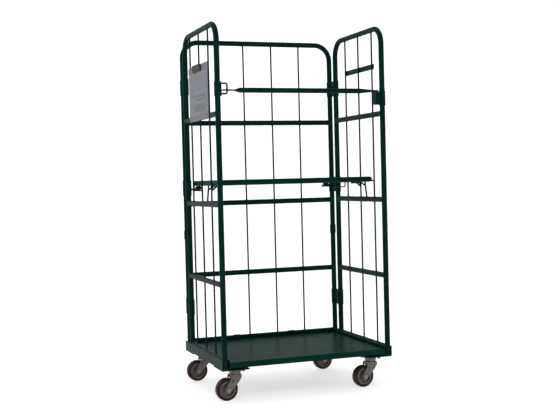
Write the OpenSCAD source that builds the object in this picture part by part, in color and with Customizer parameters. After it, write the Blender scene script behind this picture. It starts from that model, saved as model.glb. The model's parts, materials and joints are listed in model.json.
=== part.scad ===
// Roll cage container: tubular back and side panels on a steel deck with four swivel casters.
// Origin on the floor under the middle of the base. +X right, +Y to the back, +Z up.

/* [Cage] */
// Overall height above the floor
overall_height = 1700; // [1500:10:1900]
// Distance between the left and right side posts, centre to centre
post_spacing = 800; // [760:10:900]
// Depth of a side panel, centre to centre of its posts
side_depth = 545; // [480:5:600]
// Distance from a side panel's back post to the back panel's post
hinge_pitch = 70; // [60:1:90]
// How far the back panel's posts stand inside the side panels' posts
back_inset = 5; // [4:1:6]
// Outside diameter of the frame tube
tube_d = 25.4; // [22:0.1:28]
// Wall of the frame tube
tube_wall = 1.5; // [1.2:0.1:2]
// Centre line radius of the bent corners
corner_r = 80; // [60:5:100]
// Diameter of the infill rods
rod_d = 8; // [6:0.5:9]
// Height of the lowest side bar
bar_low = 525; // [480:5:560]
// Height of the middle side bar
bar_mid = 882; // [860:1:890]
// Height of the upper side bar
bar_high = 1285; // [1240:5:1320]
// How much lower the back panel's bars sit than the side bars
back_drop = 6; // [4:1:8]

/* [Base] */
// Top of the deck above the floor
deck_top = 182; // [180:1:184]
// Underside of the side rails above the floor
rail_bottom = 149; // [149:1:150]
// Height of the side rails
rail_height = 44; // [40:1:48]
// Outside width over the side rails
rail_width = 831; // [831:1:840]
// Depth of the base, front to back
base_depth = 640; // [640:1:650]
// Sheet thickness of the deck and rails
sheet_t = 2.5; // [2:0.5:3]

/* [Casters] */
// Wheel diameter
wheel_d = 102; // [98:1:104]
// Tread width
wheel_w = 32; // [28:1:34]
// How far the wheel trails its swivel axis
trail = 43; // [36:1:46]
// Distance of the swivel axes from the middle of the base, left to right
caster_x = 336; // [330:1:340]
// Distance of the front swivel axes from the middle of the base
caster_front = 250; // [240:1:252]
// Distance of the back swivel axes from the middle of the base
caster_back = 250; // [240:1:252]

/* [Shelf, bar and board] */
// Height of the shelf frame's centre line
shelf_z = 979; // [970:1:985]
// Front edge of the shelf
shelf_front = -245; // [-260:5:-200]
// Height of the front bar
bar_z = 1388; // [1380:1:1400]
// Width of the sign board
board_w = 324; // [300:2:330]
// Height of the sign board
board_h = 256; // [240:2:270]

/* [Hidden] */
$fn = 48;

green = [0.07, 0.16, 0.14];
deck_green = [0.20, 0.28, 0.25];
zinc = [0.62, 0.62, 0.60];
dark = [0.05, 0.04, 0.05];

// Places of the posts
tube_r = tube_d / 2;
bore_r = tube_r - tube_wall;
side_x = post_spacing / 2;
back_x = side_x - back_inset;
front_y = -(side_depth + hinge_pitch) / 2;
side_back_y = front_y + side_depth;
back_y = side_back_y + hinge_pitch;
post_foot = rail_bottom + sheet_t;
side_top = overall_height - tube_r;
back_top = side_top - back_drop - 1;
side_sill = 187.5;
back_sill = 189.5;

// Heights of the horizontal bars
side_levels = [side_sill, bar_low, bar_mid, bar_high];
back_levels = [back_sill, bar_low - back_drop + 1, bar_mid - back_drop, bar_high - back_drop];

// Places of the infill rods
left_rod_pitch = 156;
left_rod_mid = -16;
right_rod_pitch = 155;
right_rod_mid = -47;
back_rod_pitch = 150;
back_rod_mid = -3;

// Rails
rail_out = rail_width / 2;
rail_in = 379.5;
rail_top = rail_bottom + rail_height;
rail_front = -base_depth / 2;
rail_inner_end = 285;
ledge_w = 27;
ledge_t = 3;
ledge_l = 300;

// Deck
deck_half = rail_in - 1;
deck_back = back_y - 16.5;
skirt_h = 27;
deck_low = deck_top - skirt_h;
strap_t = 2;
strap_clear = 0.5;
strap_w = 30;
strap_xs = [-150, 150];
rest_gap = 0.3;

// Casters
bracket_t = 5;
plate_t = 4;
plate_size = 90;
plate_top = rail_bottom - bracket_t;
bolt_pitch = 60;
bolt_r = 5;
hole_r = 5.25;
bracket_in = caster_x - 48;
bracket_reach = 68;
wheel_r = wheel_d / 2;
kingpin_r = 6;
fit = 0.06;
crown_z = 113;
crown_t = 4;
race_top = 132.7;
leg_t = 3;
leg_in = 21.5;
axle_r = 6;

// Hinge clamps
clamp_t = 2.5;
clamp_h = 76;
clamp_split = 0.75;
clamp_levels = [368, 957, 1452];
catch_z = 723;
catch_h = 42;

// Shelf
shelf_half = 378;
shelf_back = 262.7;
shelf_corner = tube_r + 1.3;
pivot_y = 262;
pivot_z = shelf_z - 23;
lug_x = 343;
lug_w = 14;
pin_r = 4;
wire_r = 3;

// Front bar
bar_r = 11.5;
loop_x = -356;
loop_r = 4;
flat_t = 5;
flat_w = 30;
hook_t = 9;
pocket_x = 371;
pocket_half = 12;
web = 5;

// Sign board
board_x = -(side_x + tube_r + 0.2);
board_t = 2;
board_y = -46;
board_z = bar_high + 114;
name_bar_z = board_z + 115;
name_bar_t = 3;
rivet_out = 128;
rivet_r = 2.5;
clip_w = 132;
clip_y = -34;
clip_z = board_z + board_h / 2 - 15;
clip_x = board_x - board_t - 4;

// A straight tube from a to b along one axis
module along_y(x, z, y0, y1, r) {
    translate([x, y0, z]) rotate([-90, 0, 0]) cylinder(h = y1 - y0, r = r);
}

module along_x(y, z, x0, x1, r) {
    translate([x0, y, z]) rotate([0, 90, 0]) cylinder(h = x1 - x0, r = r);
}

module box(x0, x1, y0, y1, z0, z1) {
    translate([x0, y0, z0]) cube([x1 - x0, y1 - y0, z1 - z0]);
}

// A quarter bend in the XZ plane: centre at the origin, from +X round to +Z
module quarter_bend(radius, r) {
    rotate([90, 0, 0]) rotate_extrude(angle = 90) translate([radius, 0]) circle(r = r);
}

// Inverted U of tube in the XZ plane, from x = -half to x = +half
module hoop_shape(half, top, foot, r) {
    leg = top - corner_r - foot;
    for (s = [0, 1]) {
        mirror([s, 0, 0]) {
            translate([half, 0, foot]) cylinder(h = leg, r = r);
            translate([half - corner_r, 0, top - corner_r]) quarter_bend(corner_r, r);
        }
    }
    along_x(0, top, -(half - corner_r), half - corner_r, r);
}

module hoop(half, top, foot) {
    difference() {
        hoop_shape(half, top, foot, tube_r);
        union() {
            hoop_shape(half, top, foot, bore_r);
            for (s = [-1, 1]) {
                translate([s * half, 0, foot - 1]) cylinder(h = 2, r = bore_r);
            }
        }
    }
}

// A side panel's hoop stands along Y
module side_tube(x) {
    color(green)
        translate([x, front_y + side_depth / 2, 0])
            rotate([0, 0, 90])
                hoop(side_depth / 2, side_top, post_foot);
}

// Cross bars of a side panel, coped to its posts
module side_bars(x) {
    color(green)
        for (z = side_levels) {
            difference() {
                along_y(x, z, front_y, side_back_y, tube_r);
                along_y(x, z, front_y, side_back_y, bore_r);
                for (y = [front_y, side_back_y]) {
                    translate([x, y, z - 20]) cylinder(h = 40, r = tube_r);
                }
            }
        }
}

// Infill rods of a side panel, welded between its bars
module side_rods(x, mid, pitch) {
    color(green)
        difference() {
            for (i = [-1 : 1]) {
                translate([x, mid + i * pitch, side_sill])
                    cylinder(h = side_top - side_sill, r = rod_d / 2);
            }
            for (z = concat(side_levels, [side_top])) {
                along_y(x, z, front_y, side_back_y, tube_r);
            }
        }
}

module back_tube() {
    color(green) translate([0, back_y, 0]) hoop(back_x, back_top, post_foot);
}

module back_bars() {
    color(green)
        for (z = back_levels) {
            difference() {
                along_x(back_y, z, -back_x, back_x, tube_r);
                along_x(back_y, z, -back_x, back_x, bore_r);
                for (s = [-1, 1]) {
                    translate([s * back_x, back_y, z - 20]) cylinder(h = 40, r = tube_r);
                }
            }
        }
}

module back_rods() {
    color(green)
        difference() {
            for (i = [-1.5 : 1 : 1.5]) {
                translate([back_rod_mid + i * back_rod_pitch, back_y, back_sill])
                    cylinder(h = back_top - back_sill, r = rod_d / 2);
            }
            for (z = concat(back_levels, [back_top])) {
                along_x(back_y, z, -back_x, back_x, tube_r);
            }
        }
}

// Flat bar across the rods near the top of a side panel, on the outer side
module name_bar(s, mid, pitch) {
    tall = 25;
    over = 10;
    near = side_x + rod_d / 2;
    box(s > 0 ? near : -near - name_bar_t, s > 0 ? near + name_bar_t : -near,
        mid - pitch - over, mid + pitch + over, name_bar_z - tall / 2, name_bar_z + tall / 2);
}

module name_bars() {
    color(green) {
        name_bar(-1, left_rod_mid, left_rod_pitch);
        name_bar(1, right_rod_mid, right_rod_pitch);
    }
}

// Upward-opening channel that a side panel stands in, with a ledge for the deck
module right_rail() {
    color(green) {
        box(rail_in, rail_out, rail_front, -rail_front, rail_bottom, rail_bottom + sheet_t);
        box(rail_out - sheet_t, rail_out, rail_front, -rail_front, rail_bottom, rail_top);
        box(rail_in, rail_in + sheet_t, rail_front, rail_inner_end, rail_bottom, rail_top);
        box(rail_in - ledge_w, rail_in, -ledge_l / 2, ledge_l / 2,
            deck_low - rest_gap - ledge_t, deck_low - rest_gap);
    }
}

module left_rail() {
    mirror([1, 0, 0]) right_rail();
}

// The four bolt places of one caster, about its swivel axis
module at_bolts(x, y) {
    for (i = [-1, 1]) {
        for (j = [-1, 1]) {
            translate([x + i * bolt_pitch / 2, y + j * bolt_pitch / 2, 0]) children();
        }
    }
}

// A copy at each caster, drawn with the swivel axis at y = 0
module at_casters() {
    for (s = [0, 1]) {
        mirror([s, 0, 0])
            for (y = [-caster_front, caster_back]) {
                translate([0, y, 0]) children();
            }
    }
}

// Plates under the rails that carry the casters
module caster_brackets() {
    color(green)
        at_casters()
            difference() {
                box(bracket_in, rail_out, -bracket_reach, bracket_reach, plate_top, rail_bottom);
                at_bolts(caster_x, 0)
                    translate([0, 0, plate_top - 1]) cylinder(h = bracket_t + 2, r = hole_r);
            }
}

// Hexagon bolts with their nuts below the caster plates
module caster_bolts() {
    head_r = 9;
    head_h = 5;
    low = plate_top - plate_t;
    color(zinc)
        at_casters()
            at_bolts(caster_x, 0) {
                translate([0, 0, low - 9]) cylinder(h = rail_bottom - low + 9, r = bolt_r);
                translate([0, 0, rail_bottom]) cylinder(h = head_h, r = head_r, $fn = 6);
                translate([0, 0, low - 7]) cylinder(h = 7, r = head_r, $fn = 6);
            }
}

// Folded sheet deck with a front skirt and side flanges
module deck() {
    under = deck_top - sheet_t;
    color(deck_green) {
        box(-deck_half, deck_half, rail_front, deck_back, under, deck_top);
        box(-deck_half, deck_half, rail_front, rail_front + sheet_t, deck_low, under);
        for (s = [0, 1]) {
            mirror([s, 0, 0])
                box(deck_half - sheet_t, deck_half, rail_front, rail_inner_end, deck_low, under);
        }
        box(-deck_half, deck_half, deck_back - sheet_t, deck_back, under - 12, under);
    }
}

// Channels under the deck, open downwards
module deck_stiffeners() {
    tall = 20;
    wide = 40;
    half = deck_half - 32;
    top = deck_top - sheet_t;
    color(deck_green)
        for (y = [-215, -70, 75, 220]) {
            difference() {
                box(-half, half, y - wide / 2, y + wide / 2, top - tall, top);
                box(-half - 1, half + 1, y - wide / 2 + sheet_t, y + wide / 2 - sheet_t,
                    top - tall - 1, top - sheet_t);
            }
        }
}

// Straps that turn on the back panel's lowest bar, so the deck folds up
module deck_straps() {
    inner = tube_r + strap_clear;
    outer = inner + strap_t;
    color(green)
        for (x = strap_xs) {
            difference() {
                union() {
                    along_x(back_y, back_sill, x - strap_w / 2, x + strap_w / 2, outer);
                    box(x - strap_w / 2, x + strap_w / 2, deck_back, back_y,
                        deck_top - sheet_t - 4, deck_top);
                }
                along_x(back_y, back_sill, x - strap_w, x + strap_w, inner);
            }
        }
}

// One half of a hinge clamp, about the middle between the two posts it joins
module clamp_half(side) {
    reach = norm([hinge_pitch, back_inset]) / 2;
    outer = tube_r + clamp_t;
    translate([0, 0, -clamp_h / 2])
        difference() {
            union() {
                for (s = [-1, 1]) {
                    translate([0, s * reach, 0]) cylinder(h = clamp_h, r = outer);
                }
                box(-clamp_split - clamp_t, clamp_split + clamp_t, -reach, reach, 0, clamp_h);
            }
            for (s = [-1, 1]) {
                translate([0, s * reach, -1]) cylinder(h = clamp_h + 2, r = tube_r);
            }
            box(side > 0 ? -50 : -clamp_split, side > 0 ? clamp_split : 50,
                -100, 100, -1, clamp_h + 1);
            translate([-20, 0, clamp_h / 2]) rotate([0, 90, 0]) cylinder(h = 40, r = 4.2);
        }
}

module at_clamps() {
    lean = atan(back_inset / hinge_pitch);
    for (s = [0, 1]) {
        mirror([s, 0, 0])
            for (z = clamp_levels) {
                translate([(side_x + back_x) / 2, (side_back_y + back_y) / 2, z])
                    rotate([0, 0, lean])
                        children();
            }
    }
}

module hinge_outer_plates() {
    color(green) at_clamps() clamp_half(1);
}

module hinge_inner_plates() {
    color(green) at_clamps() clamp_half(-1);
}

module hinge_bolts() {
    face = clamp_split + clamp_t;
    color(green)
        at_clamps() {
            translate([-face, 0, 0]) rotate([0, 90, 0]) cylinder(h = 2 * face, r = 4);
            translate([face, 0, 0]) rotate([0, 90, 0]) cylinder(h = 4, r1 = 8, r2 = 6);
            translate([-face - 6, 0, 0]) rotate([0, 90, 0]) cylinder(h = 6, r = 7.5, $fn = 6);
        }
}

// Collars on the back posts with a lug that catches the raised deck
module deck_catches() {
    outer = tube_r + clamp_t;
    color(green)
        for (s = [0, 1]) {
            mirror([s, 0, 0])
                translate([back_x, back_y, catch_z - catch_h / 2])
                    difference() {
                        union() {
                            cylinder(h = catch_h, r = outer);
                            for (z = [2, catch_h - 8]) {
                                box(-4, 4, -outer - 9, 0, z, z + 6);
                            }
                        }
                        translate([0, 0, -1]) cylinder(h = catch_h + 2, r = tube_r);
                    }
        }
}

// Rounded rectangle of tube, lying flat
module ring_shape(x0, x1, y0, y1, radius, r) {
    along_x(y0, 0, x0 + radius, x1 - radius, r);
    along_x(y1, 0, x0 + radius, x1 - radius, r);
    along_y(x0, 0, y0 + radius, y1 - radius, r);
    along_y(x1, 0, y0 + radius, y1 - radius, r);
    corners = [[x1 - radius, y1 - radius, 0], [x0 + radius, y1 - radius, 90],
        [x0 + radius, y0 + radius, 180], [x1 - radius, y0 + radius, 270]];
    for (c = corners) {
        translate([c[0], c[1], 0])
            rotate([0, 0, c[2]])
                rotate_extrude(angle = 90) translate([radius, 0]) circle(r = r);
    }
}

module shelf_frame() {
    half = shelf_half - tube_r;
    color(green)
        translate([0, 0, shelf_z])
            difference() {
                ring_shape(-half, half, shelf_front + tube_r, shelf_back - tube_r,
                    shelf_corner, tube_r);
                ring_shape(-half, half, shelf_front + tube_r, shelf_back - tube_r,
                    shelf_corner, bore_r);
            }
}

// Rods of the shelf floor, welded between its front and back tubes
module shelf_rods() {
    y0 = shelf_front + tube_r;
    y1 = shelf_back - tube_r;
    color(green)
        difference() {
            for (i = [-4 : 4]) {
                along_y(i * 72, shelf_z, y0, y1, rod_d / 2);
            }
            along_x(y0, shelf_z, -shelf_half, shelf_half, tube_r);
            along_x(y1, shelf_z, -shelf_half, shelf_half, tube_r);
        }
}

// Wire loops under the sides of the shelf, to lift it by
module shelf_loops() {
    x = shelf_half - 4;
    low = shelf_z - 36;
    near = 86;
    far = 222;
    r = 12;
    color(green)
        for (s = [0, 1]) {
            mirror([s, 0, 0])
                difference() {
                    union() {
                        translate([x, near, low + r]) cylinder(h = shelf_z - low - r, r = wire_r);
                        translate([x, far, low + r]) cylinder(h = shelf_z - low - r, r = wire_r);
                        along_y(x, low, near + r, far - r, wire_r);
                        for (end = [[near + r, 180], [far - r, 270]]) {
                            translate([x, end[0], low + r])
                                rotate([0, 0, 90]) rotate([90, 0, 0]) rotate([0, 0, end[1]])
                                    rotate_extrude(angle = 90) translate([r, 0]) circle(r = wire_r);
                        }
                    }
                    along_y(shelf_half - tube_r, shelf_z, near - 50, far + 50, tube_r);
                }
        }
}

// Eyes under the shelf's back tube that turn on the pivot pins
module shelf_lugs() {
    tube_y = shelf_back - tube_r;
    color(green)
        for (s = [-1, 1]) {
            difference() {
                union() {
                    along_x(pivot_y, pivot_z, s * lug_x - lug_w / 2, s * lug_x + lug_w / 2, 8);
                    box(s * lug_x - lug_w / 2, s * lug_x + lug_w / 2, tube_y - 4, pivot_y + 4,
                        pivot_z, shelf_z);
                }
                along_x(tube_y, shelf_z, -shelf_half, shelf_half, tube_r);
                along_x(pivot_y, pivot_z, s * lug_x - lug_w, s * lug_x + lug_w, pin_r + fit);
                box(s * lug_x - lug_w, s * lug_x + lug_w, tube_y + tube_r - 6, pivot_y + 20,
                    pivot_z + 9, shelf_z + 20);
            }
        }
}

// Forked brackets on the back posts that hold the shelf's pivot pins
module shelf_brackets() {
    low = pivot_z - 12;
    top = pivot_z - 2;
    ear_t = 4;
    inner = lug_x - lug_w / 2 - ear_t - 1;
    outer = lug_x + lug_w / 2 + 1;
    plate_y = back_y - tube_r - 4;
    color(green)
        for (s = [0, 1]) {
            mirror([s, 0, 0])
                difference() {
                    union() {
                        box(inner, back_x - 4, plate_y, plate_y + 4.5, low, top);
                        box(back_x - 12, back_x - 4, plate_y + 4, back_y, low, top);
                        for (x = [inner, outer]) {
                            box(x, x + ear_t, pivot_y, plate_y + 1, low, top);
                            along_x(pivot_y, pivot_z, x, x + ear_t, 9);
                        }
                    }
                    translate([back_x, back_y, low - 1]) cylinder(h = 30, r = tube_r + clamp_t);
                    along_x(pivot_y, pivot_z, inner - 1, outer + 10, pin_r);
                }
        }
}

module shelf_pins() {
    inner = lug_x - lug_w / 2 - 8;
    outer = lug_x + lug_w / 2 + 8;
    color(zinc)
        for (s = [0, 1]) {
            mirror([s, 0, 0]) {
                along_x(pivot_y, pivot_z, inner, outer, pin_r);
                along_x(pivot_y, pivot_z, inner - 2, inner, 6);
            }
        }
}

// Wire rest on a middle side bar: a leaning leg, a wire between two rods, and arms that bend
// inwards under the shelf, one from the leg and one beside a rod
module rest_arm(x, y, low_z, arm_z, r) {
    knee_x = shelf_half - 4;
    translate([x, y, low_z])
        rotate([0, -atan2(x - knee_x, arm_z - low_z), 0])
            cylinder(h = norm([x - knee_x, arm_z - low_z]), r = r);
    along_x(y, arm_z, knee_x - 29, knee_x + 1.5, r);
}

module rest_wire(foot_y, lean, rods, beside_y) {
    x = side_x - 6;
    arm_r = 3.7;
    arm_z = shelf_z - tube_r - rest_gap - arm_r;
    tie_z = arm_z + 9;
    low_z = arm_z - 16;
    difference() {
        translate([x, foot_y, bar_mid])
            rotate([lean, 0, 0]) cylinder(h = (tie_z + 5 - bar_mid) / cos(lean), r = 4);
        along_y(side_x, bar_mid, front_y, side_back_y, tube_r);
    }
    rest_arm(x, foot_y - (low_z - bar_mid) * tan(lean), low_z, arm_z, arm_r);
    difference() {
        union() {
            along_y(x + 0.3, tie_z, rods[0], rods[1], 3.8);
            translate([x, beside_y, low_z - 1.5]) cylinder(h = tie_z - low_z + 1.5, r = 3.9);
            rest_arm(x, beside_y, low_z, arm_z, arm_r);
        }
        for (y = rods) {
            translate([side_x, y, low_z - 20]) cylinder(h = 80, r = rod_d / 2);
        }
    }
}

module shelf_rests() {
    left = [left_rod_mid - left_rod_pitch, left_rod_mid];
    right = [right_rod_mid - right_rod_pitch, right_rod_mid];
    color(green) {
        mirror([1, 0, 0]) rest_wire(-75, 19, left, left[0] + 5);
        rest_wire(-130, -14, right, right[1] - 5);
    }
}

// Retaining bar across the front, with a slotted flat end and a hooked flat end
module front_bar() {
    left_flat = -320;
    left_round = -297;
    right_round = 285;
    right_flat = 345;
    half_t = flat_t / 2;
    half_w = flat_w / 2;
    half_hook = hook_t / 2;
    slot = 11;
    slot_r = loop_r + 1;
    nose = 22;
    color(green)
        translate([0, front_y, bar_z]) {
            along_x(0, 0, left_round, right_round, bar_r);
            hull() {
                along_x(0, 0, left_round - 1, left_round, bar_r, $fn = 32);
                box(left_flat - 1, left_flat, -half_w, half_w, -half_t, half_t);
            }
            hull() {
                along_x(0, 0, right_round, right_round + 1, bar_r, $fn = 32);
                box(right_flat, right_flat + 1, -12, 12, -half_hook, half_hook);
            }
            difference() {
                box(loop_x - nose, left_flat, -half_w, half_w, -half_t, half_t);
                box(loop_x - slot + slot_r, loop_x + slot - slot_r, -slot_r, slot_r, -5, 5);
                for (s = [-1, 1]) {
                    translate([loop_x + s * (slot - slot_r), 0, -5]) cylinder(h = 10, r = slot_r);
                }
            }
            box(right_flat, pocket_x + half_hook, -12, 12, -half_hook, half_hook);
            box(pocket_x - half_hook, pocket_x + half_hook, -12, 12, -42, half_hook);
        }
}

// D-shaped wire that the bar's slotted end turns on
module bar_loop() {
    low = bar_z - 16;
    top = bar_z + 30;
    root = -(side_x - tube_r - web);
    r = 8;
    color(green)
        translate([0, front_y, 0]) {
            along_x(0, low, root, loop_x - r, loop_r);
            along_x(0, top, root, loop_x - r, loop_r);
            translate([loop_x, 0, low + r]) cylinder(h = top - low - 2 * r, r = loop_r);
            translate([loop_x - r, 0, top - r]) quarter_bend(r, loop_r);
            translate([loop_x - r, 0, low + r]) rotate([0, 90, 0]) quarter_bend(r, loop_r);
        }
}

// Band round a front post
module post_band(x, low, top) {
    translate([x, front_y, low])
        difference() {
            cylinder(h = top - low, r = tube_r + clamp_t);
            translate([0, 0, -1]) cylinder(h = top - low + 2, r = tube_r);
        }
}

module left_bar_bracket() {
    low = bar_z - 26;
    top = bar_z + 37;
    color(green) {
        post_band(-side_x, low, top);
        box(-side_x + tube_r + 1, -side_x + tube_r + web, front_y - 5, front_y + 5, low, top);
    }
}

// Band with a pocket for the bar's hooked end
module right_bar_bracket() {
    low = bar_z - 67;
    top = bar_z + 2;
    mouth = bar_z - hook_t / 2 - rest_gap;
    wall = 2.5;
    near = pocket_x - pocket_half;
    far = pocket_x + pocket_half;
    color(green) {
        post_band(side_x, low, top);
        difference() {
            box(near, far, front_y - 17, front_y + 17, low + 4, mouth);
            box(near + wall, far - wall, front_y - 14.5, front_y + 14.5, low + 8, mouth + 1);
        }
        box(far, side_x - tube_r - 1, front_y - 8, front_y + 8, low + 4, low + 12);
        box(far, side_x - tube_r - 1, front_y - 8, front_y + 8, mouth - 8, mouth);
    }
}

module rounded_plate(x, thick, wide, tall, r) {
    translate([x, 0, 0])
        rotate([90, 0, 90])
            linear_extrude(height = thick)
                union() {
                    square([wide - 2 * r, tall], center = true);
                    square([wide, tall - 2 * r], center = true);
                    for (i = [-1, 1]) {
                        for (j = [-1, 1]) {
                            translate([i * (wide / 2 - r), j * (tall / 2 - r)]) circle(r = r);
                        }
                    }
                }
}

// The four rivet places of the board: on the upper side bar and on the flat bar above it
module at_rivets() {
    for (y = [board_y - rivet_out, board_y + rivet_out]) {
        for (z = [bar_high, name_bar_z]) {
            translate([board_x, y, z]) rotate([0, -90, 0]) children();
        }
    }
}

module sign_board() {
    color([0.55, 0.56, 0.58])
        difference() {
            translate([0, board_y, board_z])
                rounded_plate(board_x - board_t, board_t, board_w, board_h, 6);
            at_rivets() translate([0, 0, -1]) cylinder(h = board_t + 2, r = rivet_r);
        }
}

module sign_sheet() {
    color([0.75, 0.76, 0.78])
        translate([0, board_y, board_z - 4])
            rounded_plate(board_x - board_t - 0.3, 0.3, board_w - 16, board_h - 60, 2);
}

// Rivets that hold the board off the flat bar and to the side bar
module sign_rivets() {
    reach = -board_x - side_x - rod_d / 2 - name_bar_t;
    color(zinc)
        difference() {
            at_rivets() {
                translate([0, 0, -reach]) cylinder(h = reach + board_t, r = rivet_r);
                translate([0, 0, board_t]) cylinder(h = 1.5, r = 4);
            }
            along_y(-side_x, bar_high, front_y, side_back_y, tube_r);
        }
}

// Clip at the top of the board: a plate with an ear at each end
module clip_base() {
    color(dark)
        translate([0, clip_y, clip_z]) {
            box(board_x - board_t - 1, board_x - board_t, -clip_w / 2, clip_w / 2, -1, 14);
            for (s = [-1, 1]) {
                difference() {
                    hull() {
                        translate([clip_x, s * (clip_w / 2 - 1), 0])
                            rotate([90, 0, 0]) cylinder(h = 2, r = 3, center = true, $fn = 32);
                        box(board_x - board_t - 1, board_x - board_t, s * (clip_w / 2 - 1) - 1,
                            s * (clip_w / 2 - 1) + 1, -1, 5);
                    }
                    translate([clip_x, s * (clip_w / 2 - 1), 0])
                        rotate([90, 0, 0]) cylinder(h = 6, r = 1.5, center = true);
                }
            }
        }
}

module clip_pin() {
    color(zinc)
        along_y(clip_x, clip_z, clip_y - clip_w / 2, clip_y + clip_w / 2, 1.5);
}

// Lever that presses the sheet to the board
module clip_lever() {
    half = clip_w / 2 - 2.3;
    jaw = board_x - board_t - 0.6 - clip_x;
    color(dark)
        translate([clip_x, clip_y - half, clip_z])
            rotate([-90, 0, 0])
                linear_extrude(height = 2 * half)
                    difference() {
                        polygon([[jaw - 1.6, 17], [jaw, 16], [2.2, 2], [2.2, -2], [-2.2, -17],
                            [-4.2, -17], [-2.8, -2], [-2.8, 3]]);
                        circle(r = 1.56);
                    }
}

// Caster: mounting plate with the upper race and the kingpin
module caster_plate(x, y) {
    low = plate_top - plate_t;
    color(zinc)
        difference() {
            union() {
                box(x - plate_size / 2, x + plate_size / 2, y - plate_size / 2,
                    y + plate_size / 2, low, plate_top);
                translate([x, y, race_top + rest_gap])
                    cylinder(h = low - race_top - rest_gap, r1 = 28, r2 = 31);
                translate([x, y, crown_z - 6]) cylinder(h = low - crown_z + 6, r = kingpin_r);
                translate([x, y, crown_z - 6]) cylinder(h = 5.7, r = 10);
            }
            at_bolts(x, y)
                translate([0, 0, low - 1]) cylinder(h = plate_t + 2, r = hole_r);
        }
}

// Outline of a fork leg, X towards the wheel, Y up
module leg_outline() {
    difference() {
        union() {
            translate([trail, wheel_r]) circle(r = 15);
            polygon([[-23, crown_z + crown_t], [26, crown_z + crown_t], [29, crown_z - 14],
                [40, 82], [trail + 14.9, wheel_r + 3], [trail - 14, wheel_r - 5.4],
                [-9, 84], [-21, crown_z - 12]]);
        }
        translate([trail, wheel_r]) circle(r = axle_r + fit);
        translate([20, 90]) {
            circle(r = 3);
            translate([-3, 0]) square([6, 8]);
            translate([0, 8]) circle(r = 3);
        }
    }
}

module caster_fork(x, y, yaw) {
    color(zinc)
        translate([x, y, 0])
            rotate([0, 0, yaw + 180])
                difference() {
                    union() {
                        for (s = [-1, 1]) {
                            translate([0, s * (leg_in + leg_t / 2) + leg_t / 2, 0])
                                rotate([90, 0, 0])
                                    linear_extrude(height = leg_t) leg_outline();
                        }
                        box(-23, 26, -leg_in - leg_t, leg_in + leg_t, crown_z, crown_z + crown_t);
                        translate([0, 0, crown_z + crown_t])
                            cylinder(h = race_top - crown_z - crown_t, r1 = 24, r2 = 28);
                    }
                    translate([0, 0, crown_z - 1]) cylinder(h = 40, r = kingpin_r + fit);
                }
}

module at_wheel(x, y, yaw) {
    translate([x, y, 0])
        rotate([0, 0, yaw + 180])
            translate([trail, 0, wheel_r])
                rotate([90, 0, 0])
                    children();
}

module caster_axle(x, y, yaw) {
    half = leg_in + leg_t;
    color(zinc)
        at_wheel(x, y, yaw) {
            cylinder(h = 2 * half + 8, r = axle_r, center = true);
            translate([0, 0, half]) cylinder(h = 7, r = 9.5, $fn = 6);
            translate([0, 0, -half - 6]) cylinder(h = 6, r = 9.5);
        }
}

module caster_hub(x, y, yaw) {
    half = wheel_w / 2 - 1;
    boss = leg_in - rest_gap;
    color([0.5, 0.5, 0.5])
        at_wheel(x, y, yaw)
            rotate_extrude()
                polygon([[axle_r + fit, -boss], [13, -boss], [15, -half - 1], [17, -6], [29, -6],
                    [32, -half], [38, -half], [38, half], [32, half], [29, 6], [17, 6],
                    [15, half + 1], [13, boss], [axle_r + fit, boss]]);
}

module caster_tyre(x, y, yaw) {
    half = wheel_w / 2;
    color([0.16, 0.04, 0.06])
        at_wheel(x, y, yaw)
            rotate_extrude()
                difference() {
                    union() {
                        translate([38, -half]) square([wheel_r - 6 - 38, wheel_w]);
                        translate([38, -half + 6]) square([wheel_r - 38, wheel_w - 12]);
                        for (s = [-1, 1]) {
                            translate([wheel_r - 6, s * (half - 6)]) circle(r = 6);
                        }
                    }
                    translate([0, -half - 1]) square([38, wheel_w + 2]);
                }
}

// Each caster: place of its swivel axis and how far it is turned at rest
fl = [-caster_x, -caster_front, 5];
fr = [caster_x, -caster_front, 6];
bl = [-caster_x, caster_back, 3];
br = [caster_x, caster_back, 6];

left_rail();
right_rail();
caster_brackets();
deck();
deck_stiffeners();
deck_straps();
side_tube(-side_x);  // left_side_tube
side_bars(-side_x);  // left_side_bars
side_rods(-side_x, left_rod_mid, left_rod_pitch);  // left_side_rods
side_tube(side_x);  // right_side_tube
side_bars(side_x);  // right_side_bars
side_rods(side_x, right_rod_mid, right_rod_pitch);  // right_side_rods
back_tube();
back_bars();
back_rods();
name_bars();
hinge_outer_plates();
hinge_inner_plates();
hinge_bolts();
deck_catches();
shelf_frame();
shelf_rods();
shelf_loops();
shelf_lugs();
shelf_brackets();
shelf_pins();
shelf_rests();
front_bar();
bar_loop();
left_bar_bracket();
right_bar_bracket();
sign_board();
sign_sheet();
sign_rivets();
clip_base();
clip_lever();
clip_pin();
caster_bolts();
caster_plate(fl[0], fl[1]);  // front_left_plate
caster_fork(fl[0], fl[1], fl[2]);  // front_left_fork
caster_axle(fl[0], fl[1], fl[2]);  // front_left_axle
caster_hub(fl[0], fl[1], fl[2]);  // front_left_hub
caster_tyre(fl[0], fl[1], fl[2]);  // front_left_tyre
caster_plate(fr[0], fr[1]);  // front_right_plate
caster_fork(fr[0], fr[1], fr[2]);  // front_right_fork
caster_axle(fr[0], fr[1], fr[2]);  // front_right_axle
caster_hub(fr[0], fr[1], fr[2]);  // front_right_hub
caster_tyre(fr[0], fr[1], fr[2]);  // front_right_tyre
caster_plate(bl[0], bl[1]);  // back_left_plate
caster_fork(bl[0], bl[1], bl[2]);  // back_left_fork
caster_axle(bl[0], bl[1], bl[2]);  // back_left_axle
caster_hub(bl[0], bl[1], bl[2]);  // back_left_hub
caster_tyre(bl[0], bl[1], bl[2]);  // back_left_tyre
caster_plate(br[0], br[1]);  // back_right_plate
caster_fork(br[0], br[1], br[2]);  // back_right_fork
caster_axle(br[0], br[1], br[2]);  // back_right_axle
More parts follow.
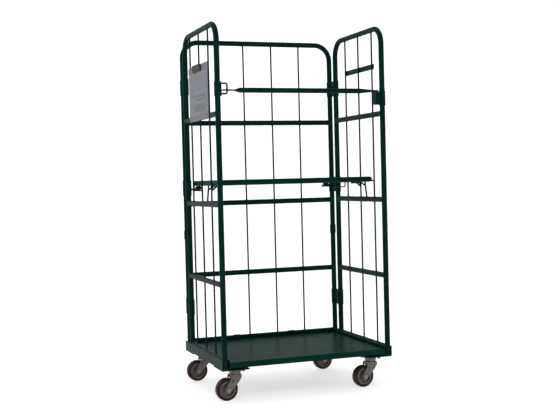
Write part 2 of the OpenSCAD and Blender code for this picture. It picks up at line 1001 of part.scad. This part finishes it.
caster_hub(br[0], br[1], br[2]);  // back_right_hub
caster_tyre(br[0], br[1], br[2]);  // back_right_tyre
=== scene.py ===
import json
import math
import random

import bpy
from mathutils import Matrix, Vector


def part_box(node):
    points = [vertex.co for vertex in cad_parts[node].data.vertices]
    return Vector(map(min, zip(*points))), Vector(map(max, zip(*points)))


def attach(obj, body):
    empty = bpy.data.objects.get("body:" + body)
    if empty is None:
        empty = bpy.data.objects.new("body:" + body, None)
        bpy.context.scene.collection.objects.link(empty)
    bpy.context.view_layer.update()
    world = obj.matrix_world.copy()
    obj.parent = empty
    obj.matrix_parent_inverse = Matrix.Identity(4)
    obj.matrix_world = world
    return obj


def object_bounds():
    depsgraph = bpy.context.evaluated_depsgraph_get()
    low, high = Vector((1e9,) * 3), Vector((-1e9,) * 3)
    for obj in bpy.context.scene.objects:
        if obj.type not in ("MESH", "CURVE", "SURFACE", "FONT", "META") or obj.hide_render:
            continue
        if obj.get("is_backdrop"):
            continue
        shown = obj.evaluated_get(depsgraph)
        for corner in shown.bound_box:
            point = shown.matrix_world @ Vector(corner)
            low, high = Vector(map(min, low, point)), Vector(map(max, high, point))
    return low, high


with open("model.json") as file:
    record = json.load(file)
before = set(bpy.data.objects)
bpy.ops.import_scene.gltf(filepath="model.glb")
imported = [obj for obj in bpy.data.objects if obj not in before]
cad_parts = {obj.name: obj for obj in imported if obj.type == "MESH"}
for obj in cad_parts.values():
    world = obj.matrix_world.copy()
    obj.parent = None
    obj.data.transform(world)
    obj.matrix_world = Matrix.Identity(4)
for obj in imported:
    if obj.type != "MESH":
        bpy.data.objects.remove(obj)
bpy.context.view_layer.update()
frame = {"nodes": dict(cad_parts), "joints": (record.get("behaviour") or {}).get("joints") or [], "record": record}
nodes = frame["nodes"]
rng = random.Random(7)

GREEN_NODES = [s["node"] for s in frame["record"]["subparts"]
               if s["material_slot"] == "frame_paint"]
CASTERS = ["front_left", "front_right", "back_left", "back_right"]
TUBE_R = 0.0127   # the frame tube's radius


def srgb(r, g, b):
    """A linear colour from 0-255 sRGB values."""
    out = []
    for v in (r, g, b):
        v /= 255
        out.append(v / 12.92 if v <= 0.04045 else ((v + 0.055) / 1.055) ** 2.4)
    return (*out, 1.0)


# ---------------------------------------------------------------- materials
class Mat:
    """A node tree with short helpers; every pattern works in object coordinates, in metres."""

    def __init__(self, name):
        self.m = bpy.data.materials.new(name)
        self.m.use_nodes = True
        self.t = self.m.node_tree
        self.t.nodes.clear()
        self.out = self.n("ShaderNodeOutputMaterial")
        self.b = self.n("ShaderNodeBsdfPrincipled")
        self.link(self.b.outputs["BSDF"], self.out.inputs["Surface"])
        self.obj = self.n("ShaderNodeTexCoord").outputs["Object"]

    def n(self, kind, **sets):
        node = self.t.nodes.new(kind)
        for k, v in sets.items():
            setattr(node, k, v)
        return node

    def link(self, a, b):
        self.t.links.new(a, b)

    def put(self, socket, value):
        if isinstance(value, bpy.types.NodeSocket):
            self.link(value, socket)
        else:
            socket.default_value = value

    def scaled(self, sx, sy, sz):
        m = self.n("ShaderNodeMapping")
        self.link(self.obj, m.inputs["Vector"])
        m.inputs["Scale"].default_value = (sx, sy, sz)
        return m.outputs["Vector"]

    def noise(self, scale, detail=4.0, rough=0.55, vector=None, distortion=0.0):
        t = self.n("ShaderNodeTexNoise")
        self.link(vector or self.obj, t.inputs["Vector"])
        t.inputs["Scale"].default_value = scale
        t.inputs["Detail"].default_value = detail
        t.inputs["Roughness"].default_value = rough
        t.inputs["Distortion"].default_value = distortion
        return t.outputs["Fac"]

    def voronoi(self, scale, out="Distance"):
        t = self.n("ShaderNodeTexVoronoi")
        self.link(self.obj, t.inputs["Vector"])
        t.inputs["Scale"].default_value = scale
        return t.outputs[out]

    def ramp(self, fac, *stops):
        """Map fac from its first to its last stop: pairs (position, grey value)."""
        r = self.n("ShaderNodeValToRGB")
        e = r.color_ramp.elements
        while len(e) < len(stops):
            e.new(0.5)
        for el, (p, v) in zip(e, stops):
            el.position = p
            el.color = (v, v, v, 1) if isinstance(v, (int, float)) else v
        self.link(fac, r.inputs["Fac"])
        return r.outputs["Color"]

    def math(self, op, a, b=0.0, clamp=False):
        m = self.n("ShaderNodeMath", operation=op, use_clamp=clamp)
        self.put(m.inputs[0], a)
        self.put(m.inputs[1], b)
        return m.outputs[0]

    def mix(self, fac, a, b):
        m = self.n("ShaderNodeMix", data_type="RGBA")
        self.put(m.inputs[0], fac)
        self.put(m.inputs[6], a)
        self.put(m.inputs[7], b)
        return m.outputs[2]

    def edge(self, radius):
        """1 on sharp edges, 0 on faces: how far the bevelled normal leans from the true one."""
        bev = self.n("ShaderNodeBevel", samples=4)
        bev.inputs["Radius"].default_value = radius
        geo = self.n("ShaderNodeNewGeometry")
        dot = self.n("ShaderNodeVectorMath", operation="DOT_PRODUCT")
        self.link(bev.outputs["Normal"], dot.inputs[0])
        self.link(geo.outputs["Normal"], dot.inputs[1])
        gap = self.math("SUBTRACT", 1.0, dot.outputs["Value"])
        m = self.n("ShaderNodeMapRange")
        self.link(gap, m.inputs["Value"])
        m.inputs["From Min"].default_value = 0.015
        m.inputs["From Max"].default_value = 0.12
        return m.outputs["Result"]

    def upward(self):
        """1 where the surface faces up."""
        geo = self.n("ShaderNodeNewGeometry")
        sep = self.n("ShaderNodeSeparateXYZ")
        self.link(geo.outputs["Normal"], sep.inputs[0])
        m = self.n("ShaderNodeMapRange")
        self.link(sep.outputs["Z"], m.inputs["Value"])
        m.inputs["From Min"].default_value = 0.35
        m.inputs["From Max"].default_value = 0.95
        return m.outputs["Result"]

    def bump(self, *layers):
        """Layers of (height, strength, distance)."""
        last = None
        for height, strength, distance in layers:
            b = self.n("ShaderNodeBump")
            b.inputs["Strength"].default_value = strength
            b.inputs["Distance"].default_value = distance
            self.link(height, b.inputs["Height"])
            if last is not None:
                self.link(last, b.inputs["Normal"])
            last = b.outputs["Normal"]
        self.link(last, self.b.inputs["Normal"])

    def done(self, color, rough, metal=0.0, coat=0.0, ior=1.5, spec=0.5):
        """Set the surface: colour, roughness and metal may be patterns, the rest are constants."""
        self.put(self.b.inputs["Base Color"], color)
        self.put(self.b.inputs["Roughness"], rough)
        self.put(self.b.inputs["Metallic"], metal)
        self.b.inputs["Coat Weight"].default_value = coat
        self.b.inputs["Coat Roughness"].default_value = 0.2
        self.b.inputs["IOR"].default_value = ior
        self.b.inputs["Specular IOR Level"].default_value = spec
        return self.m


def paint(name, body, deep, light, smoothest, spec, wear=0.5, streak=0.0):
    """Enamel on steel: cloudy tone, orange peel, rubbed edges that show primer, and a
    little dust on top faces. smoothest is the lowest roughness."""
    m = Mat(name)
    cloud = m.ramp(m.noise(5.0, 5, 0.6), (0.35, 0.0), (0.68, 1.0))
    base = m.mix(cloud, body, deep)
    mottle = m.ramp(m.noise(38.0, 6, 0.7), (0.42, 0.0), (0.72, 1.0))
    base = m.mix(m.math("MULTIPLY", mottle, 0.35), base, light)
    if streak:
        drag = m.ramp(m.noise(16.0, 5, 0.75, m.scaled(1.0, 9.0, 1.0)), (0.56, 0.0), (0.74, 1.0))
        base = m.mix(m.math("MULTIPLY", drag, streak), base, light)
    edge = m.edge(0.0012)
    patch = m.ramp(m.noise(22.0, 6, 0.7), (0.5, 0.0), (0.62, 1.0))
    rub = m.math("MULTIPLY", edge, m.math("MULTIPLY", patch, wear), clamp=True)
    bare = m.mix(m.noise(90.0, 3), srgb(96, 92, 84), srgb(58, 46, 38))
    base = m.mix(rub, base, bare)
    chips = m.ramp(m.noise(130.0, 3, 0.6), (0.735, 0.0), (0.75, 1.0))
    chips = m.math("MULTIPLY", chips, m.ramp(m.noise(4.0, 2), (0.5, 0.0), (0.66, 1.0)))
    base = m.mix(m.math("MULTIPLY", chips, 0.7), base, bare)
    dust = m.math("MULTIPLY", m.upward(), m.ramp(m.noise(60.0, 4), (0.4, 0.0), (0.9, 0.03)))
    base = m.mix(dust, base, srgb(120, 118, 110))
    rough = m.math("ADD", m.math("MULTIPLY", m.noise(26.0, 5, 0.65), 0.22), smoothest)
    rough = m.math("ADD", rough, m.math("MULTIPLY", rub, 0.2), clamp=True)
    m.bump((m.noise(420.0, 2), 0.10, 0.0004), (m.noise(30.0, 3), 0.08, 0.001),
           (m.math("SUBTRACT", 1.0, m.math("ADD", rub, chips, clamp=True)), 0.35, 0.0003))
    return m.done(base, rough, ior=1.45, spec=spec)


# The specular level is low because the paint is mostly seen at a flat angle, where it reflects most
frame_paint = paint("frame_paint", srgb(6, 42, 38), srgb(3, 29, 27), srgb(14, 54, 50),
                    smoothest=0.28, spec=0.03)
deck_paint = paint("deck_paint", srgb(12, 50, 43), srgb(8, 42, 36), srgb(24, 60, 52),
                   smoothest=0.24, spec=0.005, wear=0.6, streak=0.10)


def weld_material():
    """Painted bead: fine ripple and a little soot."""
    m = Mat("weld_bead")
    ripple = m.noise(520.0, 3, 0.6)
    tone = m.ramp(m.noise(60.0, 4), (0.45, 0.0), (0.7, 1.0))
    base = m.mix(tone, srgb(15, 40, 34), srgb(26, 50, 43))
    soot = m.ramp(m.noise(140.0, 3), (0.6, 0.0), (0.75, 1.0))
    base = m.mix(m.math("MULTIPLY", soot, 0.4), base, srgb(44, 34, 28))
    m.bump((ripple, 0.5, 0.0008),)
    return m.done(base, m.math("ADD", m.math("MULTIPLY", ripple, 0.25), 0.3), 0.0, 0.15)


def zinc_material(name, light, dark, rust=0.25, metal=0.75):
    """Dull zinc plate: spangle, rust spots, bright edges and fine scratches."""
    m = Mat(name)
    spangle = m.voronoi(240.0, "Color")
    grey = m.n("ShaderNodeRGBToBW")
    m.link(spangle, grey.inputs[0])
    flake = m.math("MULTIPLY", grey.outputs[0], 0.25)
    tone = m.math("ADD", flake, m.math("MULTIPLY", m.noise(24.0, 6, 0.65), 0.8), clamp=True)
    base = m.mix(tone, dark, light)
    spots = m.ramp(m.noise(75.0, 6, 0.75), (0.6, 0.0), (0.7, 1.0))
    base = m.mix(m.math("MULTIPLY", spots, rust), base, srgb(92, 58, 36))
    edge = m.math("MULTIPLY", m.edge(0.0008), 0.35)
    base = m.mix(edge, base, srgb(176, 172, 164))
    scratch = m.ramp(m.noise(60.0, 4, 0.8, m.scaled(1.0, 1.0, 14.0)), (0.6, 0.0), (0.64, 1.0))
    base = m.mix(m.math("MULTIPLY", scratch, 0.25), base, light)
    rough = m.math("ADD", m.math("MULTIPLY", tone, 0.25), 0.3)
    metallic = m.math("SUBTRACT", metal, m.math("MULTIPLY", spots, rust), clamp=True)
    m.bump((m.noise(300.0, 3), 0.12, 0.0004), (scratch, 0.08, 0.0003))
    return m.done(base, rough, metallic)


zinc = zinc_material("zinc", srgb(122, 119, 113), srgb(76, 73, 68))
bolt_zinc = zinc_material("bolt_zinc", srgb(150, 146, 136), srgb(88, 82, 72), 0.4)
race_steel = zinc_material("race_steel", srgb(112, 108, 100), srgb(58, 54, 48), 0.35, 0.8)


def tyre_material():
    """Dark maroon tread: cloudy tone, scuffs and pressed-in grit."""
    m = Mat("maroon_tread")
    tone = m.ramp(m.noise(14.0, 5, 0.6), (0.35, 0.0), (0.7, 1.0))
    base = m.mix(tone, srgb(50, 12, 17), srgb(30, 7, 11))
    scuff = m.ramp(m.noise(70.0, 6, 0.75), (0.52, 0.0), (0.7, 1.0))
    base = m.mix(m.math("MULTIPLY", scuff, 0.18), base, srgb(70, 46, 44))
    grit = m.ramp(m.voronoi(900.0), (0.1, 1.0), (0.3, 0.0))
    base = m.mix(m.math("MULTIPLY", grit, 0.12), base, srgb(90, 78, 72))
    m.bump((m.noise(160.0, 5, 0.7), 0.2, 0.0008), (grit, 0.15, 0.0004))
    return m.done(base, m.math("ADD", m.math("MULTIPLY", scuff, 0.3), 0.42), spec=0.2)


def core_material():
    """Grey cast core: mottled, grimy, with bright edges."""
    m = Mat("wheel_core")
    tone = m.ramp(m.noise(20.0, 6, 0.65), (0.35, 0.0), (0.7, 1.0))
    base = m.mix(tone, srgb(100, 98, 95), srgb(68, 66, 63))
    grime = m.ramp(m.noise(110.0, 5, 0.7), (0.55, 0.0), (0.7, 1.0))
    base = m.mix(m.math("MULTIPLY", grime, 0.45), base, srgb(46, 40, 36))
    edge = m.math("MULTIPLY", m.edge(0.001), 0.45)
    base = m.mix(edge, base, srgb(170, 168, 162))
    m.bump((m.noise(260.0, 4, 0.6), 0.25, 0.0006),)
    return m.done(base, m.math("ADD", m.math("MULTIPLY", grime, 0.2), 0.36), 0.35)


def board_material():
    """Grey sheet paint: rubbed edges and wipe marks."""
    m = Mat("board_paint")
    tone = m.ramp(m.noise(9.0, 5, 0.6), (0.3, 0.0), (0.7, 1.0))
    base = m.mix(tone, srgb(98, 102, 113), srgb(86, 90, 100))
    rub = m.math("MULTIPLY", m.edge(0.001), m.ramp(m.noise(40.0, 5), (0.45, 0.0), (0.6, 0.8)))
    base = m.mix(rub, base, srgb(74, 72, 70))
    wipe = m.ramp(m.noise(30.0, 5, 0.7, m.scaled(1.0, 1.0, 7.0)), (0.56, 0.0), (0.7, 1.0))
    base = m.mix(m.math("MULTIPLY", wipe, 0.15), base, srgb(140, 140, 146))
    m.bump((m.noise(350.0, 2), 0.08, 0.0003),)
    return m.done(base, m.math("ADD", m.math("MULTIPLY", wipe, 0.15), 0.42), spec=0.25)


def sheet_material():
    """Printed film: uneven tone and fine creases."""
    m = Mat("label_film")
    tone = m.ramp(m.noise(12.0, 5, 0.6), (0.3, 0.0), (0.7, 1.0))
    base = m.mix(tone, srgb(102, 106, 117), srgb(90, 94, 104))
    folds = m.noise(7.0, 3, 0.5, m.scaled(1.0, 1.0, 3.0), 0.6)
    crease = m.ramp(folds, (0.49, 0.0), (0.5, 1.0), (0.51, 0.0))
    base = m.mix(m.math("MULTIPLY", crease, 0.12), base, srgb(96, 96, 102))
    m.bump((m.noise(24.0, 3), 0.3, 0.0006), (crease, 0.1, 0.0003))
    return m.done(base, m.math("ADD", m.math("MULTIPLY", m.noise(18.0), 0.12), 0.34), spec=0.3)


def ink_material():
    """Dark ink, faded in patches."""
    m = Mat("faded_ink")
    fade = m.ramp(m.noise(160.0, 5, 0.7), (0.35, 0.0), (0.7, 1.0))
    base = m.mix(fade, srgb(34, 36, 48), srgb(62, 64, 76))
    m.bump((m.noise(300.0), 0.05, 0.0002),)
    return m.done(base, m.math("ADD", m.math("MULTIPLY", fade, 0.15), 0.35))


def clip_material():
    """Black-brown enamel with rubbed edges."""
    m = Mat("clip_enamel")
    tone = m.ramp(m.noise(30.0, 5), (0.35, 0.0), (0.7, 1.0))
    base = m.mix(tone, srgb(36, 27, 24), srgb(22, 16, 15))
    rub = m.math("MULTIPLY", m.edge(0.0008), m.ramp(m.noise(70.0, 4), (0.4, 0.0), (0.6, 0.9)))
    base = m.mix(rub, base, srgb(120, 104, 84))
    m.bump((m.noise(300.0, 3), 0.12, 0.0003),)
    return m.done(base, m.math("ADD", m.math("MULTIPLY", rub, 0.2), 0.5), spec=0.15)


weld = weld_material()
tread = tyre_material()
core = core_material()
board = board_material()
film = sheet_material()
ink = ink_material()
clip = clip_material()

looks = {}
for n in GREEN_NODES:
    looks[n] = frame_paint
looks.update(deck=deck_paint, deck_stiffeners=deck_paint, sign_board=board, sign_sheet=film,
             sign_rivets=bolt_zinc, clip_base=clip, clip_lever=clip, clip_pin=bolt_zinc,
             shelf_pins=bolt_zinc, caster_bolts=bolt_zinc)
for c in CASTERS:
    looks[c + "_plate"] = zinc
    looks[c + "_fork"] = zinc
    looks[c + "_axle"] = bolt_zinc
    looks[c + "_hub"] = core
    looks[c + "_tyre"] = tread
for name, o in nodes.items():
    o.data.materials.clear()
    o.data.materials.append(looks[name])


# Rolled edges on the cut and folded sheet parts
SHEET = ["deck", "left_rail", "right_rail", "caster_brackets", "name_bars", "sign_board",
         "right_bar_bracket"]
for name in SHEET + [c + "_plate" for c in CASTERS]:
    bev = nodes[name].modifiers.new("rolled_edge", "BEVEL")
    bev.width = 0.0005
    bev.segments = 2
    bev.limit_method = "ANGLE"
    bev.angle_limit = math.radians(50)


# ---------------------------------------------------------------- geometry helpers
def new_piece(name, verts, faces, material, body, smooth=True):
    me = bpy.data.meshes.new(name)
    me.from_pydata(verts, [], faces)
    me.validate()
    me.materials.append(material)
    if smooth:
        me.shade_smooth()
    o = bpy.data.objects.new(name, me)
    bpy.context.scene.collection.objects.link(o)
    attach(o, body)
    return o


def sweep(points, radius, sides, wobble=0.0):
    """Vertices and faces of a round bead along a closed loop of points."""
    verts, faces = [], []
    count = len(points)
    for i, p in enumerate(points):
        along = (Vector(points[(i + 1) % count]) - Vector(points[i - 1])).normalized()
        if i == 0:
            side = along.orthogonal().normalized()
        else:
            side = (side - side.dot(along) * along).normalized()
        up = along.cross(side)
        r = radius * (1 + wobble * (rng.random() - 0.5))
        for j in range(sides):
            a = 2 * math.pi * j / sides
            verts.append(Vector(p) + r * (math.cos(a) * side + math.sin(a) * up))
    # The last ring joins the first one at the turn where their vertices lie closest
    first = verts[0] - Vector(points[0])
    final = verts[-sides:]
    shift = max(range(sides), key=lambda k: (final[k] - Vector(points[-1])).dot(first))
    for i in range(count):
        for j in range(sides):
            a = i * sides + j
            b = i * sides + (j + 1) % sides
            if i + 1 < count:
                c, d = (i + 1) * sides + (j + 1) % sides, (i + 1) * sides + j
            else:
                c, d = (j + 1 - shift) % sides, (j - shift) % sides
            faces.append((a, b, c, d))
    return verts, faces


def gather(parts):
    """One list of vertices and faces from several."""
    verts, faces = [], []
    for v, f in parts:
        k = len(verts)
        verts += v
        faces += [tuple(i + k for i in q) for q in f]
    return verts, faces


def ring(centre, axis, radius, steps=14):
    """Points of a circle about an axis, 0 for X, 1 for Y, 2 for Z."""
    pts = []
    for i in range(steps):
        a = 2 * math.pi * i / steps
        u, v = radius * math.cos(a), radius * math.sin(a)
        off = [(0, u, v), (u, 0, v), (u, v, 0)][axis]
        pts.append(Vector(centre) + Vector(off))
    return pts


def shells(name):
    """Boxes of a node's separate solids, each as (low, high)."""
    me = nodes[name].data
    lead = list(range(len(me.vertices)))

    def find(i):
        while lead[i] != i:
            lead[i] = lead[lead[i]]
            i = lead[i]
        return i

    spots = {}
    for v in me.vertices:
        key = tuple(round(c, 5) for c in v.co)
        if key in spots:
            lead[find(v.index)] = find(spots[key])
        else:
            spots[key] = v.index
    for e in me.edges:
        a, b = find(e.vertices[0]), find(e.vertices[1])
        if a != b:
            lead[a] = b
    boxes = {}
    for v in me.vertices:
        lo, hi = boxes.setdefault(find(v.index), ([9.0] * 3, [-9.0] * 3))
        for k in range(3):
            lo[k] = min(lo[k], v.co[k])
            hi[k] = max(hi[k], v.co[k])
    return sorted((Vector(lo), Vector(hi)) for lo, hi in boxes.values())


# ---------------------------------------------------------------- welds
ROD_BEAD, BAR_BEAD, FOOT_BEAD = 0.0011, 0.0013, 0.0014
UNEVEN = 0.5   # how much the thickness of a bead varies


def rod_welds(name, rods, body):
    """A small bead where each length of rod meets a bar."""
    parts = []
    for lo, hi in shells(rods):
        mid = (lo + hi) / 2
        size = hi - lo
        axis = max(range(3), key=lambda k: size[k])
        r = min(size) / 2
        for end in (lo[axis], hi[axis]):
            c = mid.copy()
            c[axis] = end + (ROD_BEAD if end == lo[axis] else -ROD_BEAD)
            parts.append(sweep(ring(c, axis, r + 0.0003), ROD_BEAD, 6, UNEVEN))
    v, f = gather(parts)
    return new_piece(name, v, f, weld, body)


def bar_welds(name, bars, tube, body):
    """A saddle bead where each cross bar meets a post. Bar and post are the same tube."""
    proud = 0.0006   # the bead's middle stands this far off the bar
    tlo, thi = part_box(tube)
    parts = []
    for lo, hi in shells(bars):
        axis = 1 if hi[1] - lo[1] > hi[0] - lo[0] else 0
        other = 1 - axis
        r = (hi[2] - lo[2]) / 2
        z = (lo[2] + hi[2]) / 2
        mid = (lo[other] + hi[other]) / 2
        for s in (-1, 1):
            post = thi[axis] - r if s > 0 else tlo[axis] + r
            pts = []
            for i in range(36):
                a = 2 * math.pi * i / 36
                side = (r + proud) * math.cos(a)
                p = [0.0, 0.0, z + (r + proud) * math.sin(a)]
                p[other] = mid + side
                p[axis] = post - s * math.sqrt((r + 0.0007) ** 2 - min(side * side, r * r))
                pts.append(Vector(p))
            parts.append(sweep(pts, BAR_BEAD, 7, UNEVEN))
    v, f = gather(parts)
    return new_piece(name, v, f, weld, body)


rod_welds("left_rod_welds", "left_side_rods", "cage")
rod_welds("right_rod_welds", "right_side_rods", "cage")
rod_welds("back_rod_welds", "back_rods", "cage")
rod_welds("shelf_rod_welds", "shelf_rods", "shelf")
bar_welds("left_bar_welds", "left_side_bars", "left_side_tube", "cage")
bar_welds("right_bar_welds", "right_side_bars", "right_side_tube", "cage")
bar_welds("back_bar_welds", "back_bars", "back_tube", "cage")


# Beads round the feet of the posts, where they stand on the rails
feet = []
for tube in ("left_side_tube", "right_side_tube", "back_tube"):
    lo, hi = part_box(tube)
    z = lo[2] + 0.0012
    if tube == "back_tube":
        spots = [(x, (lo[1] + hi[1]) / 2) for x in (lo[0] + TUBE_R, hi[0] - TUBE_R)]
    else:
        spots = [((lo[0] + hi[0]) / 2, y) for y in (lo[1] + TUBE_R, hi[1] - TUBE_R)]
    for x, y in spots:
        feet.append(sweep(ring((x, y, z), 2, TUBE_R + 0.0004, 30), FOOT_BEAD, 7, UNEVEN))
v, f = gather(feet)
new_piece("foot_welds", v, f, weld, "cage")

# ---------------------------------------------------------------- casters
RIBS = 6
RIB_PROFILE = ((0.0185, 0.0098), (0.023, 0.0082), (0.0285, 0.0082))   # distance from axle, height
RIB_FOOT = 0.0062                       # the ribs' sides run down to this height, inside the core
LIP_R, LIP_OFF = 0.0372, 0.0153         # OFF values are distances along the axle from the middle
SEAM_OFFS = (-0.0098, 0.0, 0.0098)
WASHER_R, WASHER_OFF = 0.0108, 0.0248
RACES = ((0.1312, 0.0279, 0.0010), (0.1185, 0.0246, 0.0009))   # height, radius, bead


def joint(name):
    return next(j for j in frame["joints"] if j["name"] == name)


for c in CASTERS:
    tlo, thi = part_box(c + "_tyre")
    radius = (thi[2] - tlo[2]) / 2
    roll = joint(c + "_roll")
    axle = Vector(roll["axis"]).normalized()
    centre = Vector(roll["pos_m"])
    u = Vector((0, 0, 1))
    w = axle.cross(u).normalized()

    def about(r, a, off):
        """The point at distance r and angle a about the axle, off along it."""
        return centre + r * (math.cos(a) * u + math.sin(a) * w) + off * axle

    def circle(r, off, steps):
        return [about(r, 2 * math.pi * i / steps, off) for i in range(steps)]

    # Raised ribs and a rim on both faces of the wheel core
    parts = []
    for side in (-1, 1):
        for k in range(RIBS):
            a0 = 2 * math.pi * k / RIBS
            verts = []
            for r, h in RIB_PROFILE:
                for da, hh in ((-0.0016, RIB_FOOT), (-0.0012, h), (0.0012, h), (0.0016, RIB_FOOT)):
                    verts.append(about(r, a0 + da / r, side * hh))
            faces = []
            for i in range(2):
                for j in range(3):
                    q = (i * 4 + j, i * 4 + j + 1, (i + 1) * 4 + j + 1, (i + 1) * 4 + j)
                    faces.append(q if side > 0 else q[::-1])
            faces.append((0, 1, 2, 3))
            faces.append((11, 10, 9, 8))
            parts.append((verts, faces))
        parts.append(sweep(circle(LIP_R, side * LIP_OFF, 48), 0.0007, 6))
    v, f = gather(parts)
    new_piece(c + "_core_ribs", v, f, core, c + "_wheel")

    # Mould seams round the tread
    v, f = gather([sweep(circle(radius - 0.0004, off, 96), 0.0004, 5) for off in SEAM_OFFS])
    new_piece(c + "_tread_seam", v, f, tread, c + "_wheel")

    # Rolled rims of the swivel race
    x, y = joint(c + "_turn")["pos_m"][:2]
    v, f = gather([sweep(ring((x, y, z), 2, r, 40), bead, 7) for z, r, bead in RACES])
    new_piece(c + "_race_ring", v, f, race_steel, c + "_swivel")

    # Washer rims on the axle
    v, f = gather([sweep(circle(WASHER_R, side * WASHER_OFF, 28), 0.0006, 6) for side in (-1, 1)])
    new_piece(c + "_axle_washers", v, f, bolt_zinc, c + "_swivel")

# ---------------------------------------------------------------- sign print
# Plain ruled lines and blocks, with no lettering
slo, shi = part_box("sign_sheet")
x = slo[0] - 0.0001
LINE = 0.0014   # the thickness of a ruled line
ROW = 0.024     # the height of a row in the table
verts, faces = [], []


def bar(y0, y1, z0, z1):
    k = len(verts)
    for y, z in ((y0, z0), (y1, z0), (y1, z1), (y0, z1)):
        verts.append((x, y, z))
    faces.append((k, k + 3, k + 2, k + 1))


# A table above, two solid bars and a row of blocks below
top = shi[2] - 0.028
for i in range(4):
    bar(slo[1] + 0.03, shi[1] - 0.03, top - ROW * i - LINE, top - ROW * i)
for y in (slo[1] + 0.03, slo[1] + 0.13, shi[1] - 0.03 - LINE):
    bar(y, y + LINE, top - 3 * ROW, top)
bar(slo[1] + 0.04, shi[1] - 0.06, slo[2] + 0.082, slo[2] + 0.090)
bar(slo[1] + 0.04, shi[1] - 0.12, slo[2] + 0.066, slo[2] + 0.074)
for i in range(5):
    y = slo[1] + 0.05 + 0.036 * i
    bar(y, y + 0.025, slo[2] + 0.014, slo[2] + 0.048)
new_piece("sign_rules", verts, faces, ink, "cage", False)

# ---------------------------------------------------------------- stage, light, camera
scene = bpy.context.scene
floor_mat = Mat("studio_floor")
floor_mat.bump((floor_mat.noise(60.0), 0.02, 0.001),)
pale = floor_mat.mix(floor_mat.noise(2.0), srgb(232, 232, 232), srgb(226, 226, 228))
floor_mat.done(pale, 0.8)
floor_mat.b.inputs["Emission Color"].default_value = (1.0, 1.0, 1.0, 1.0)
floor_mat.b.inputs["Emission Strength"].default_value = 0.62
# A floor that curves up into a back wall
half_width, front, back, tall, bend = 14.0, -9.0, 5.0, 7.0, 2.0
profile = [(front, 0.0)]
for i in range(13):
    a = math.pi / 2 * i / 12
    profile.append((back - bend + bend * math.sin(a), bend - bend * math.cos(a)))
profile.append((back, tall))
me = bpy.data.meshes.new("studio_sweep")
me.from_pydata([(side * half_width, y, z) for y, z in profile for side in (-1, 1)], [],
               [(2 * i, 2 * i + 1, 2 * i + 3, 2 * i + 2) for i in range(len(profile) - 1)])
me.materials.append(floor_mat.m)
me.shade_smooth()
sweep_obj = bpy.data.objects.new("studio_sweep", me)
scene.collection.objects.link(sweep_obj)
sweep_obj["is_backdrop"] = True

world = bpy.data.worlds.new("studio")
scene.world = world
world.use_nodes = True
bg = world.node_tree.nodes["Background"]
bg.inputs["Color"].default_value = (1.0, 1.0, 1.0, 1.0)
bg.inputs["Strength"].default_value = 0.3


def area(name, at, to, size, power):
    light = bpy.data.lights.new(name, "AREA")
    light.shape = "RECTANGLE"
    light.size, light.size_y = size
    light.energy = power
    o = bpy.data.objects.new(name, light)
    o.location = at
    o.rotation_euler = (Vector(to) - Vector(at)).to_track_quat("-Z", "Y").to_euler()
    scene.collection.objects.link(o)


area("key", (-3.2, -3.6, 3.6), (0, 0, 0.8), (2.2, 2.2), 60)
area("fill", (3.6, -2.6, 2.2), (0, 0, 0.8), (2.2, 2.2), 26)
area("top", (0.0, 0.4, 4.4), (0, 0, 0), (3.0, 3.0), 40)
scene.view_settings.view_transform = "Standard"

# The view: a long lens from the front left, a little above the middle of the cage
EYE = (-1.66258, -4.55442, 0.98647)
FOCAL_PX, WIDTH_PX, SENSOR = 1002.11, 560, 36
yaw, pitch, roll = 0.34811, -0.03019, -0.02518
ahead = Vector((math.sin(yaw) * math.cos(pitch), math.cos(yaw) * math.cos(pitch), math.sin(pitch)))
right = Vector((math.cos(yaw), -math.sin(yaw), 0))
up = right.cross(ahead)
right_rolled = math.cos(roll) * right + math.sin(roll) * up
up_rolled = -math.sin(roll) * right + math.cos(roll) * up
cam = bpy.data.cameras.new("camera")
cam.sensor_fit = "HORIZONTAL"
cam.sensor_width = SENSOR
cam.lens = FOCAL_PX / WIDTH_PX * SENSOR
cam.clip_start = 0.05
cam.clip_end = 60
cam_obj = bpy.data.objects.new("camera", cam)
facing = Matrix((right_rolled, up_rolled, -ahead)).transposed()
cam_obj.matrix_world = Matrix.Translation(EYE) @ facing.to_4x4()
scene.collection.objects.link(cam_obj)
scene.camera = cam_obj

lo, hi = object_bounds()
